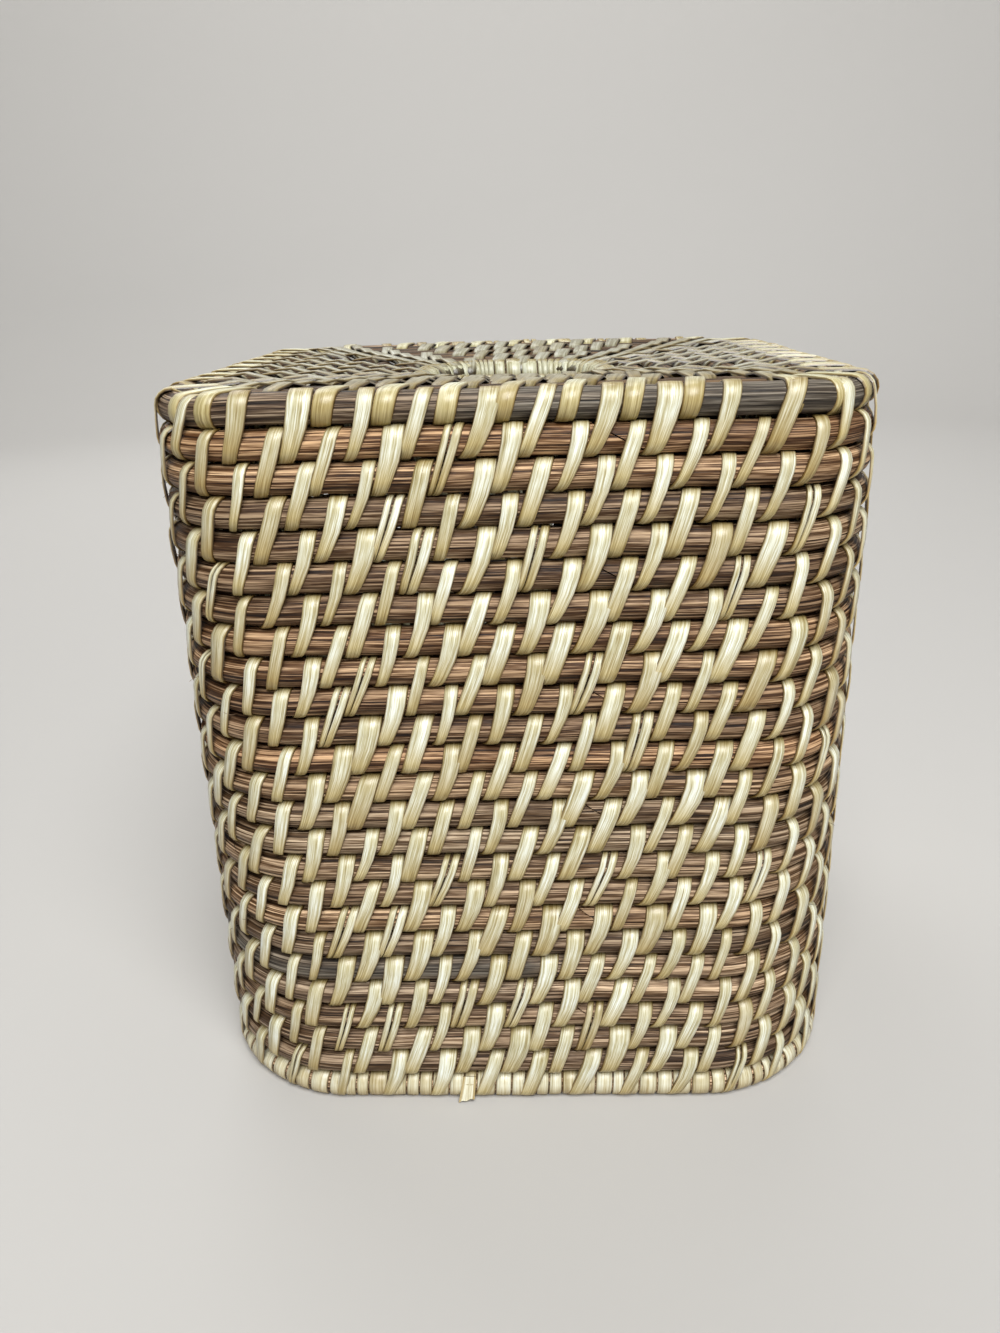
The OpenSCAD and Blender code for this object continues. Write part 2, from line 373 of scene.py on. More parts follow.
def caneMaterial(name, shadeColour, body, light, tuckDirtAndShade=(0.60, 0.50, 0.30), lowerShadeFrom=0.74):
    # split peel with a glossy skin: fine lines that run with the strip; along its way a painted highlight, whiter
    # and cooler, on its upper part, and painted shade, yellower and darker, on its lower part and where it tucks
    # in between the rods, partly dirt there too
    grain = caneGrain
    material, tree, shader = newMaterial(name, grain["roughness"], grain["specular"])
    place = addNode(tree, "ShaderNodeSeparateXYZ", (-1320, 200))
    tree.links.new(surfaceAttribute(tree, "fibre", "Vector", (-1500, 200)), place.inputs[0])
    shade = surfaceAttribute(tree, "shade", "Fac", (-1500, -200))
    offset = mathNode(tree, "MULTIPLY", shade, grain["lotSpread"], (-1320, -200))

    def grainCells(scales, y):
        along, across = scales
        return combine(tree, mathNode(tree, "MULTIPLY", place.outputs[0], along, (-1140, y)),
                       mathNode(tree, "MULTIPLY", place.outputs[1], across, (-1140, y - 200)),
                       offset, (-960, y - 100))

    bands = noise(tree, grainCells(grain["coarse"], 300), 1.0, 2, 0.5, (-760, 200))
    lines = noise(tree, grainCells(grain["fine"], -200), 1.0, 3, 0.7, (-760, -100))
    both = weighed(tree, bands, grain["bandShare"], lines, grain["lineShare"], (-560, 120))
    colour = ramp(tree, both, ((0.34, shadeColour), (0.46, body), (0.60, light)), (-200, 200))
    lot = ramp(tree, shade, ((0.0, (0.76, 0.68, 0.54)), (0.2, (0.93, 0.90, 0.82)),
                             (0.7, (1.0, 1.0, 1.0)), (1.0, (1.10, 1.12, 1.16))), (-200, -150))
    colour = mixColour(tree, "MULTIPLY", 1.0, colour, lot, (100, 200))
    # painted light by the share along the strip's way: painted shade at both tucks, partly dirt there, a painted
    # highlight over the upper part, and painted shade, yellower and darker, from the later stop down to the lower
    # tuck
    paintedSheenAndShade = ramp(tree, surfaceAttribute(tree, "face", "Fac", (-200, -500)),
                ((0.06, tuckDirtAndShade), (0.17, (0.98, 0.98, 0.95)), (0.40, (1.08, 1.10, 1.14)),
                 (lowerShadeFrom, (0.86, 0.72, 0.44)), (0.96, tuckDirtAndShade)), (0, -450))
    colour = mixColour(tree, "MULTIPLY", 1.0, colour, paintedSheenAndShade, (280, 200))
    # painted shade: the strip is darker the nearer it lies to the rod, on its sides and underside, for the shadow
    # where it sits on the rod
    sides = ramp(tree, mathNode(tree, "MULTIPLY", place.outputs[2], grain["contactShadeScale"], (-760, -700)),
                 ((0.1, (0.16, 0.11, 0.06)), (0.85, (1.0, 1.0, 1.0))), (-560, -700))
    colour = mixColour(tree, "MULTIPLY", 1.0, colour, sides, (460, 200))
    # painted shade: a thin dark line along both edges, for the shadow beside the strip
    across = mathNode(tree, "ABSOLUTE", place.outputs[1], 0.0, (-760, -950))
    rim = ramp(tree, mathNode(tree, "MULTIPLY", across, grain["edgeShadeScale"], (-560, -950)),
               ((0.74, (1.0, 1.0, 1.0)), (0.95, (0.60, 0.48, 0.30))), (-380, -950))
    colour = mixColour(tree, "MULTIPLY", 1.0, colour, rim, (640, 200))
    tree.links.new(colour, shader.inputs["Base Color"])
    addBump(tree, shader, both, grain["depth"], grain["relief"], (100, -250))
    return material


# painted shade: the top's rods are a darker copy of the wall's rattan, for the weaker light on the top and the
# dark gaps between its rods
topRattanPaintedShade = rattanMaterial("topRattanPaintedShade", (0.010, 0.005, 0.002), (0.050, 0.026, 0.012), (0.20, 0.135, 0.08))
upperRattan = rattanMaterial("upperRattan", (0.009, 0.003, 0.001), (0.086, 0.041, 0.017), (0.49, 0.345, 0.225))
lowerRattan = rattanMaterial("lowerRattan", (0.013, 0.006, 0.002), (0.102, 0.056, 0.026), (0.53, 0.40, 0.275))
wallCane = caneMaterial("wallCane", (0.28, 0.215, 0.085), (0.51, 0.465, 0.285), (0.79, 0.80, 0.70))
# painted shade: the top's cane is a darker copy of the wall's cane, with dark tucks, for the weaker light on the
# top
topCanePaintedShade = caneMaterial("topCanePaintedShade", (0.12, 0.097, 0.05), (0.255, 0.235, 0.155), (0.40, 0.385, 0.30),
                       (0.15, 0.11, 0.06))
# the last two values are the painted shade at the tucks and where the lower painted shade starts, later here than
# on the walls
edgeCane = caneMaterial("edgeCane", (0.26, 0.215, 0.095), (0.46, 0.425, 0.25), (0.68, 0.67, 0.51),
                        (0.50, 0.42, 0.22), 0.85)
# painted shade: the opening's cane is a darker copy of the wall's cane, for the dimmer light on the rim of the
# opening
openingCanePaintedShade = caneMaterial("openingCanePaintedShade", (0.24, 0.205, 0.09), (0.41, 0.385, 0.24), (0.60, 0.595, 0.46))
baseCane = caneMaterial("baseCane", (0.38, 0.295, 0.14), (0.62, 0.56, 0.37), (0.81, 0.79, 0.63))
print("materials ready")


rod = {
    "radius": 2.82, "sides": 20, "step": 1.6, "gap": 0.25, "unevenness": 0.2, "swellScale": 90, "slantReach": 11.0,
    "upperCourses": 12, "grainStep": 0.37, "lift": (0.80, 1.16), "warm": (0.0, 0.12), "blue": 0.94,
    "blueMore": 0.06, "seed": 11,
}
# dark grey stretches at the front, by wall course: where they start (mm to the right), the run
# until they are full, how dark they start, how much darker they get, and how far back they reach
stains = {1: (-22, 24, 0.45, 0.55, -40), 20: (14, -14, 0.0, 0.9, -45), 21: (14, -14, 0.0, 0.35, -45)}


def makeRodTree():
    tree = newTree("rodTree", (
        ("Rod Radius", "NodeSocketFloat", 0.0026), ("Sides", "NodeSocketInt", 20),
        ("Unevenness", "NodeSocketFloat", 0.0001), ("Height", "NodeSocketFloat", 0.1),
        ("Scarf Slope", "NodeSocketFloat", 1.9), ("Seed", "NodeSocketFloat", 0.0),
        ("Material", "NodeSocketMaterial", None),
    ))
    start = addNode(tree, "NodeGroupInput", (-1400, 0)).outputs
    toCurve = addNode(tree, "GeometryNodeMeshToCurve", (-1100, 200))
    upright = addNode(tree, "GeometryNodeSetCurveNormal", (-900, 200))
    circle = addNode(tree, "GeometryNodeCurvePrimitiveCircle", (-1100, -100))
    keepRound = addNode(tree, "GeometryNodeStoreNamedAttribute", (-900, -100), data_type="FLOAT_VECTOR")
    keepRound.inputs["Name"].default_value = "rodAround"
    place = addNode(tree, "GeometryNodeInputPosition", (-1100, -300))
    sweep = addNode(tree, "GeometryNodeCurveToMesh", (-650, 100))
    sweep.inputs["Fill Caps"].default_value = True
    tree.links.new(start["Geometry"], toCurve.inputs[0])
    tree.links.new(toCurve.outputs[0], upright.inputs["Curve"])
    tree.links.new(start["Sides"], circle.inputs["Resolution"])
    tree.links.new(start["Rod Radius"], circle.inputs["Radius"])
    tree.links.new(circle.outputs["Curve"], keepRound.inputs["Geometry"])
    tree.links.new(place.outputs[0], keepRound.inputs["Value"])
    tree.links.new(upright.outputs[0], sweep.inputs["Curve"])
    tree.links.new(keepRound.outputs[0], sweep.inputs["Profile Curve"])
    # thick and thin places, out along the normal
    swell = addNode(tree, "ShaderNodeTexNoise", (-650, -250), noise_dimensions="4D")
    swell.inputs["Scale"].default_value = rod["swellScale"]
    swell.inputs["Detail"].default_value = 1
    tree.links.new(start["Seed"], swell.inputs["W"])
    normal = addNode(tree, "GeometryNodeInputNormal", (-650, -480))
    amount = mathNode(tree, "MULTIPLY", mathNode(tree, "SUBTRACT", swell.outputs["Fac"], 0.5, (-450, -250)),
                      start["Unevenness"], (-280, -250))
    swollen = moved(tree, sweep.outputs[0], "Offset", scaled(tree, normal.outputs[0], amount, (-280, -420)),
                    (-100, 100))
    # the two ends slide past each other along the slope of the scarf
    here = addNode(tree, "GeometryNodeInputPosition", (-650, -700))
    apart = addNode(tree, "ShaderNodeSeparateXYZ", (-450, -700))
    tree.links.new(here.outputs[0], apart.inputs[0])
    above = mathNode(tree, "SUBTRACT", apart.outputs[2], start["Height"], (-280, -700))
    slide = mathNode(tree, "MULTIPLY", mathNode(tree, "MULTIPLY", above, start["Scarf Slope"], (-100, -700)),
                     readAttribute(tree, "endShare", "FLOAT", (-280, -860)), (80, -700))
    heading = readAttribute(tree, "heading", "FLOAT_VECTOR", (80, -520))
    slanted = moved(tree, swollen, "Offset", scaled(tree, heading, slide, (260, -500)), (260, 100))
    smooth = addNode(tree, "GeometryNodeSetShadeSmooth", (430, 100))
    tree.links.new(slanted, smooth.inputs["Geometry"])
    finishTree(tree, smooth.outputs[0], start["Material"], (600, 100))
    return tree


def rodTone(k, dice):
    # reddish brown above, greyer towards the foot, each rod a little different
    down = max(0, (k - edgeCourse) / cover["wallSteps"])
    lift = dice.uniform(*rod["lift"])
    warm = dice.uniform(*rod["warm"])
    return lift * (1 + warm), lift, lift * (rod["blue"] + rod["blueMore"] * down - warm), 1


def stainAt(k, place):
    start, run, least, more, back = stains.get(k - edgeCourse + 1, (0, 1, 0.0, 0.0, 0))
    if place.y < back:
        return least + more * min(1, max(0, (place.x - start) / run))
    return 0.0


def rodNode(k):
    if k == 0:
        return "opening_rim_rod"
    return f"top_course_{k}" if k < edgeCourse else f"wall_course_{k - edgeCourse + 1:02d}"


def makeRod(k, material, tree, dice):
    slit = rod["gap"] / math.sin(math.radians(cover["scarfAngle"]))
    begin = (k % 4) * quarter(k) + halfSide(k) * cover["scarfShare"] + slit / 2
    length = 4 * quarter(k) - slit
    count = int(length / rod["step"])
    colour = rodTone(k, dice)
    verts, run, heading, tone, stain, endShare = [], [], [], [], [], []
    for n in range(count + 1):
        s = length * n / count
        place, h = laidPoint(k, begin + s)
        verts.append(place * mm)
        run.append(s * mm + k * rod["grainStep"])
        heading.append(tuple(directions(h)[0]))
        tone.append(colour)
        stain.append(stainAt(k, place))
        endShare.append(max(0.0, 1 - min(s, length - s) / rod["slantReach"]))
    mesh = bpy.data.meshes.new("rodPath")
    mesh.from_pydata(verts, [(n, n + 1) for n in range(count)], [])
    setAttribute(mesh, "rodRun", "FLOAT", run)
    setAttribute(mesh, "heading", "FLOAT_VECTOR", heading)
    setAttribute(mesh, "rodTone", "FLOAT_COLOR", tone)
    setAttribute(mesh, "stain", "FLOAT", stain)
    setAttribute(mesh, "endShare", "FLOAT", endShare)
    return runTree("rod_" + rodNode(k), mesh, tree, {
        "Rod Radius": rod["radius"] * mm, "Sides": rod["sides"], "Unevenness": rod["unevenness"] * mm,
        "Height": courseHeight(k) * mm, "Scarf Slope": -1 / math.tan(math.radians(cover["scarfAngle"])),
        "Seed": float(rod["seed"] + k), "Material": material,
    })


def dress(piece, node):
    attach(piece, "root")
    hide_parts(node)


rodTree = makeRodTree()
rodDice = random.Random(rod["seed"])
for k in range(footCourse + 1):
    wall = k - edgeCourse + 1
    material, slotName = ((topRattanPaintedShade, "top_rattan") if k < edgeCourse else
                          (upperRattan, "upper_wall_rattan") if wall <= rod["upperCourses"] else
                          (lowerRattan, "lower_wall_rattan"))
    dress(makeRod(k, material, rodTree, rodDice), rodNode(k))
print("rods laid:", footCourse + 1)


strip = {
    "gripRadius": 2.86, "thickness": 0.42, "reach": 6.12, "width": 3.3, "frontSteps": 4, "backSteps": 2,
    "cornerReach": 8.4, "longFrom": 7.4, "bulge": 0.1, "archBulge": 0.5, "bevel": 0.17, "crown": (0.93, 1.07),
    "lean": 2.35, "topLean": 0.75, "wobble": 0.00022, "waveScale": 190, "pull": (0.8, 1.2),
    "splitShare": 0.08, "bentShare": 0.5, "seed": 23, "topSeed": 3, "wallSeed": 10,
}
wallStrips = {
    "groups": 12, "roundWidth": (0.88, 1.10), "ownWidth": (0.74, 1.24), "scatter": 0.5,
    "bendWidth": 0.85, "bendPull": 0.8,
}
# the corner fans are headings in degrees, used in turn
topStrips = {
    "width": 1.08, "edgeWidth": 1.16, "edgeShift": 0.95, "ownWidth": (0.86, 1.12), "scatter": 0.3, "margin": 1.6,
    "cornerWidth": (0.8, 1.0), "cornerPull": (0.3, 0.7), "fans": ((9, 33, 57, 81), (22, 45, 68)),
}


def stripWay(reach, overhang, bulge):
    # the way of a strip in the plane square to the rods (height, angle, bulge), and its part in view
    front, back = 90 / strip["frontSteps"], 90 / strip["backSteps"]
    straight = [(0.0, bulge), (reach / 2, 0.0)] if reach else []
    way = [(reach / 2, 90 - front * n, 0.0) for n in range(strip["frontSteps"] + 1)]
    way += [(-height, 0.0, out) for height, out in straight]
    way += [(-reach / 2, -front * n, 0.0) for n in range(1, round(overhang / front) + 1)]
    shown = len(way)
    way += [(-reach / 2, -overhang - back * n, 0.0) for n in range(1, round((180 - overhang) / back) + 1)]
    way += [(height, 180.0, out) for height, out in straight]
    way += [(reach / 2, 180 - back * n, 0.0) for n in range(1, strip["backSteps"])]
    return way, shown


def bandShape(name, reach, width, thickness, parts, power=1.0, taper=0.0, waist=0.1, overhang=90, bulge=0.1):
    # a closed band of split cane; each of its parts is a strip of its own where the peel has split
    way, shown = stripWay(reach, overhang, bulge)
    spots = [Vector((height + strip["gripRadius"] * math.sin(math.radians(angle)),
                     strip["gripRadius"] * math.cos(math.radians(angle)))) for height, angle, _ in way]
    passed = [0.0]
    for a, b in zip(spots, spots[1:] + spots[:1]):
        passed.append(passed[-1] + (b - a).length)
    whole, loop = passed[shown - 1], passed[-1]
    shoulder, crown = (share * thickness for share in strip["crown"])
    verts, faces, smooth, fibre, drift, face = [], [], [], [], [], []
    for left, right, pull in parts:
        first = len(verts)
        rim = strip["bevel"] / width
        section = ((left, 0.0), (left + rim, shoulder), ((left + right) / 2, crown),
                   (right - rim, shoulder), (right, 0.0))
        for (height, angle, out), gone in zip(way, passed):
            share = gone / whole if gone <= whole else (loop - gone) / (loop - whole)
            along = 1 - 2 * (share ** power if gone <= whole else share)
            wide = width * (1 + taper * (0.5 - share)) * (1 - waist * (2 * share - 1) ** 2)
            a = math.radians(angle)
            for x, h in section:
                r = strip["gripRadius"] + h + out
                verts.append(Vector((x * wide, height + r * math.sin(a), r * math.cos(a))) * mm)
                fibre.append((gone * mm, x * width * mm, h * mm))
                drift.append(along * pull)
                face.append(share)
        rings, side = len(way), len(section)
        for n in range(rings):
            for m in range(side):
                here, beyond = first + n * side, first + (n + 1) % rings * side
                faces.append((here + m, beyond + m, beyond + (m + 1) % side, here + (m + 1) % side))
                smooth.append(m in (1, 2))
    mesh = bpy.data.meshes.new(name)
    mesh.from_pydata(verts, [], faces)
    mesh.polygons.foreach_set("use_smooth", smooth)
    setAttribute(mesh, "fibre", "FLOAT_VECTOR", fibre)
    setAttribute(mesh, "drift", "FLOAT", drift)
    setAttribute(mesh, "face", "FLOAT", face)
    return bpy.data.objects.new(name, mesh)


def shapeCollection(name, shapes):
    group = bpy.data.collections.new(name)
    bpy.context.scene.collection.children.link(group)
    for shape in shapes:
        group.objects.link(shape)
    return group


def makeStripTree():
    tree = newTree("stripTree", (
        ("Shapes", "NodeSocketCollection", None), ("Lean", "NodeSocketFloat", 0.0015),
        ("Wobble", "NodeSocketFloat", 0.0002), ("Seed", "NodeSocketFloat", 0.0),
        ("Material", "NodeSocketMaterial", None),
    ))
    start = addNode(tree, "NodeGroupInput", (-1400, 0)).outputs
    shapes = addNode(tree, "GeometryNodeCollectionInfo", (-1150, -150))
    shapes.inputs["Separate Children"].default_value = True
    shapes.inputs["Reset Children"].default_value = True
    tree.links.new(start["Shapes"], shapes.inputs["Collection"])
    turn = addNode(tree, "FunctionNodeEulerToRotation", (-950, -350))
    tree.links.new(readAttribute(tree, "turn", "FLOAT_VECTOR", (-1150, -350)), turn.inputs[0])
    place = addNode(tree, "GeometryNodeInstanceOnPoints", (-700, 100))
    place.inputs["Pick Instance"].default_value = True
    tree.links.new(start["Geometry"], place.inputs["Points"])
    tree.links.new(shapes.outputs[0], place.inputs["Instance"])
    tree.links.new(readAttribute(tree, "shape", "INT", (-1150, -500)), place.inputs["Instance Index"])
    tree.links.new(turn.outputs[0], place.inputs["Rotation"])
    tree.links.new(readAttribute(tree, "stretch", "FLOAT_VECTOR", (-1150, -650)), place.inputs["Scale"])
    real = addNode(tree, "GeometryNodeRealizeInstances", (-500, 100))
    tree.links.new(place.outputs[0], real.inputs[0])
    # each strip drifts to one side as it goes round
    pulled = mathNode(tree, "MULTIPLY", readAttribute(tree, "drift", "FLOAT", (-700, -300)),
                      readAttribute(tree, "pull", "FLOAT", (-700, -450)), (-500, -300))
    heading = readAttribute(tree, "heading", "FLOAT_VECTOR", (-320, -480))
    leaning = moved(tree, real.outputs[0], "Offset",
                    scaled(tree, heading, mathNode(tree, "MULTIPLY", pulled, start["Lean"], (-320, -300)),
                           (-120, -300)), (-100, 100))
    # and wavers a little
    waves = addNode(tree, "ShaderNodeTexNoise", (-120, -500), noise_dimensions="4D")
    waves.inputs["Scale"].default_value = strip["waveScale"]
    waves.inputs["Detail"].default_value = 0
    tree.links.new(start["Seed"], waves.inputs["W"])
    centred = addNode(tree, "ShaderNodeVectorMath", (80, -500), operation="SUBTRACT")
    centred.inputs[1].default_value = (0.5, 0.5, 0.5)
    tree.links.new(waves.outputs["Color"], centred.inputs[0])
    wavering = moved(tree, leaning, "Offset", scaled(tree, centred.outputs[0], start["Wobble"], (260, -400)),
                     (280, 100))
    # nothing goes below the surface that the cover stands on
    here = addNode(tree, "GeometryNodeInputPosition", (280, -600))
    parts = addNode(tree, "ShaderNodeSeparateXYZ", (450, -600))
    tree.links.new(here.outputs[0], parts.inputs[0])
    lifted = combine(tree, parts.outputs[0], parts.outputs[1],
                     mathNode(tree, "MAXIMUM", parts.outputs[2], 0.0, (450, -760)), (620, -600))
    finishTree(tree, moved(tree, wavering, "Position", lifted, (600, 100)), start["Material"], (760, 100))
    return tree


def newPoints():
    return {"at": [], "turn": [], "stretch": [], "heading": [], "shape": [], "pull": [], "shade": []}


def addPoint(points, centre, heading, inPlane, stretch, dice, shape=0, pull=1.0):
    facing = heading.cross(inPlane)
    points["at"].append(centre * mm)
    points["turn"].append(tuple(Matrix((heading, inPlane, facing)).transposed().to_euler("XYZ")))
    points["stretch"].append(stretch)
    points["heading"].append(tuple(heading))
    points["shape"].append(shape)
    points["pull"].append(pull)
    points["shade"].append(dice.random())


def wind(name, points, shapes, tree, material, lean, seed):
    mesh = bpy.data.meshes.new("windPoints")
    mesh.from_pydata(points["at"], [], [])
    for label, kind in (("turn", "FLOAT_VECTOR"), ("stretch", "FLOAT_VECTOR"), ("heading", "FLOAT_VECTOR"),
                        ("shape", "INT"), ("pull", "FLOAT"), ("shade", "FLOAT")):
        setAttribute(mesh, label, kind, points[label])
    return runTree(name, mesh, tree, {
        "Shapes": shapes, "Lean": lean * mm, "Wobble": strip["wobble"], "Seed": float(seed),
        "Material": material,
    })


def runNear(k, place):
    # the run of course k that comes nearest to a place
    angle = math.degrees(math.atan2(place.y, place.x)) + 90
    side = math.floor((angle + 45) / 90)
    local = Matrix.Rotation(math.radians(-90 * side), 3, "Z") @ place
    flat, r = halfSide(k), cornerRadius(k)
    if abs(local.x) > flat:
        bend = r * math.atan2(abs(local.x) - flat, -flat - local.y)
        run = math.copysign(flat + bend, local.x)
    else:
        run = local.x
    return side * quarter(k) + run


def addBinding(points, k, run, h, width, dice, shape, pull):
    # a strip round course k and the next one
    upper, _ = laidPoint(k, run)
    heading, outward = directions(h)
    out = spread(k + 1, h) - spread(k, h)
    fall = courseHeight(k) - courseHeight(k + 1)
    lower, _ = laidPoint(k + 1, runNear(k + 1, pointOn(k, run)[0] + outward * out - Vector((0, 0, fall))))
    across = upper - lower
    across -= heading * across.dot(heading)
    reach = strip["reach"]
    if across.length > strip["longFrom"]:
        shape, reach = shape + 2, strip["cornerReach"]
    addPoint(points, (upper + lower) / 2, heading, across.normalized(),
             (width, across.length / reach, 1.0), dice, shape, pull)


def pickShape(dice):
    roll = dice.random()
    if roll < strip["splitShare"]:
        return 2
    return 1 if roll < strip["splitShare"] + strip["bentShare"] else 0


def wallRound(points, k, dice):
    pitch = 4 * quarter(k) / cover["stitches"]
    scatter = wallStrips["scatter"]
    own = dice.uniform(*wallStrips["roundWidth"])
    for n in range(cover["stitches"]):
        run = (n + startShare(k)) * pitch + dice.uniform(-scatter, scatter)
        _, h = pointOn(k, run)
        local = run % quarter(k)
        bent = halfSide(k) < local < quarter(k) - halfSide(k)
        width = own * dice.uniform(*wallStrips["ownWidth"]) * (wallStrips["bendWidth"] if bent else 1.0)
        shape = pickShape(dice)
        pull = dice.uniform(*strip["pull"]) * (wallStrips["bendPull"] if bent else 1.0)
        addBinding(points, k, run, h, width, dice, shape, pull)


def columnPlaces(k, side):
    # the middles of the strips on the straight part of one side, in line with the walls' top round
    pitch = 4 * quarter(edgeCourse) / cover["stitches"]
    last = halfSide(k) - topStrips["margin"]
    first = startShare(k) - side * cover["stitches"] / 4
    low, high = math.ceil(-last / pitch - first), math.floor(last / pitch - first)
    return [(n + first) * pitch for n in range(low, high + 1)]


def cornerPlace(k, h):
    # the run at which a strip of heading h stands square to course k and the next one
    shift = math.asin(math.sqrt(2) * (halfSide(k + 1) - halfSide(k)) * math.sin(math.radians(45 - h))
                      / (cornerRadius(k) + cornerRadius(k + 1)))
    return halfSide(k) + cornerRadius(k) * (math.radians(h) + shift)


def topRound(points, k, dice, wide):
    # the strips over the top edge have a shape of their own and stand a little to the right
    edge = k == edgeCourse - 1
    shape, shift = (3, topStrips["edgeShift"]) if edge else (4, 0.0)
    scatter = topStrips["scatter"]
    for side in range(4):
        for x in columnPlaces(k, side):
            run = side * quarter(k) + x + dice.uniform(-scatter, scatter) + shift
            width = wide * dice.uniform(*topStrips["ownWidth"])
            addBinding(points, k, run, 90.0 * side, width, dice, shape, dice.uniform(*strip["pull"]))
        for h in topStrips["fans"][(edgeCourse - 1 - k + side) % 2]:
            width = wide * dice.uniform(*topStrips["cornerWidth"])
            addBinding(points, k, side * quarter(k) + cornerPlace(k, h), 90 * side + h, width, dice, shape,
                       dice.uniform(*topStrips["cornerPull"]))


def stripShape(letter, power, taper, parts=((-0.5, 0.5, 1.0),), reach=strip["reach"], overhang=90,
               bulge=strip["bulge"]):
    return bandShape("strip" + letter, reach, strip["width"], strip["thickness"], parts, power, taper,
                     overhang=overhang, bulge=bulge)


# A, B and C lie on the walls, D and E on the edge and the top, F and G there at the corners;
# the first number bends the strip's way down, the second narrows it towards its foot
stripShapes = shapeCollection("stripShapes", (
    stripShape("A", 1.2, 0.15),
    stripShape("B", 1.9, 0.45),
    stripShape("C", 1.3, 0.2, ((-0.5, -0.07, 1.0), (-0.03, 0.5, 1.1))),
    stripShape("D", 1.4, 0.0, overhang=180),
    stripShape("E", 1.1, 0.1, bulge=strip["archBulge"]),
    stripShape("F", 1.4, 0.0, reach=strip["cornerReach"], overhang=180),
    stripShape("G", 1.1, 0.1, reach=strip["cornerReach"], bulge=strip["archBulge"]),
))
stripTree = makeStripTree()
stripDice = random.Random(strip["seed"])
innerRounds = (edgeCourse - 1) // 2
for name, rounds, wide, material, slotName in (
        ("inner_top_lashings", range(0, innerRounds), topStrips["width"], topCanePaintedShade, "top_cane_strip"),
        ("outer_top_lashings", range(innerRounds, edgeCourse - 1), topStrips["width"], topCanePaintedShade, "top_cane_strip"),
        ("edge_lashings", range(edgeCourse - 1, edgeCourse), topStrips["edgeWidth"], edgeCane, "wall_cane_strip")):
    points = newPoints()
    for k in rounds:
        topRound(points, k, stripDice, wide)
    dress(wind("strips_" + name, points, stripShapes, stripTree, material, strip["lean"] * strip["topLean"],
               strip["topSeed"]), name)
for g in range(wallStrips["groups"]):
    points = newPoints()
    for k in (edgeCourse + 2 * g, edgeCourse + 2 * g + 1):
        wallRound(points, k, stripDice)
    name = f"wall_lashings_{g + 1:02d}"
    dress(wind("strips_" + name, points, stripShapes, stripTree, wallCane, strip["lean"], strip["wallSeed"] + g),
          name)
print("bindings wound")


whip = {
    "width": 3.0, "openingTurn": 3.5, "openingBend": 0.42, "openingThick": 1.3, "baseTurn": 3.3, "baseThick": 0.7,
    "uneven": (0.7, 1.3), "gap": 0.14, "pull": 0.25, "lean": 1.0, "seed": 31,
}

# the turns of the opening lie over its bindings, those of the base under them
turnShapes = shapeCollection("turnShapes", [
    bandShape(name, 0, whip["width"], thick * strip["thickness"], ((-0.5, 0.5, 1.0),), waist=0.0)
    for name, thick in (("turnA", whip["openingThick"]), ("turnB", whip["baseThick"]))
])


def addTurn(points, k, run, width, dice, shape):
    place, h = laidPoint(k, run)
    addPoint(points, place, directions(h)[0], Vector((0, 0, 1)), (width / whip["width"], 1.0, 1.0), dice, shape,
             whip["pull"])


def whipRound(name, k, turn, bendShare, shape, material, seed):
    # turns of uneven width, side by side all the way round, narrower where the rod bends
    dice = random.Random(seed)
    length, widths = 4 * quarter(k), []
    while sum(widths) < length:
        local = sum(widths) % quarter(k)
        bent = halfSide(k) - turn / 2 < local < quarter(k) - halfSide(k)
        widths.append(turn * dice.uniform(*whip["uneven"]) * (bendShare if bent else 1.0))
    points = newPoints()
    run, fit = 0.0, length / sum(widths)
    for width in widths:
        addTurn(points, k, run + width * fit / 2, width * fit - whip["gap"], dice, shape)
        run += width * fit
    return wind(name, points, turnShapes, stripTree, material, whip["lean"], seed)


dress(whipRound("whipping_opening", 0, whip["openingTurn"], whip["openingBend"], 0, openingCanePaintedShade, whip["seed"]),
      "opening_whipping")
dress(whipRound("whipping_base", footCourse, whip["baseTurn"], 1.0, 1, baseCane, whip["seed"] + 1),
      "base_whipping")
for group in (stripShapes, turnShapes):
    for shape in list(group.objects):
        bpy.data.objects.remove(shape)
    bpy.data.collections.remove(group)
print("rims whipped")


# loose fibres stand out of the gaps, most of them at the corners, where they are longer
fibre = {
    "count": 110, "radius": 0.075, "sides": 4, "length": (1.6, 4.2), "shorter": 0.75, "stops": 6,
    "cornerShare": 0.65, "cornerSpread": (0.1, 1.2), "side": (-1.1, 1.1), "curl": (-0.7, 0.7), "lift": (-0.5, 0.6),
    "below": 3.0, "outward": 1.6, "settle": 0.35, "bow": 0.8, "thinning": 0.6, "tone": (0.3, 0.9), "seed": 47,
}


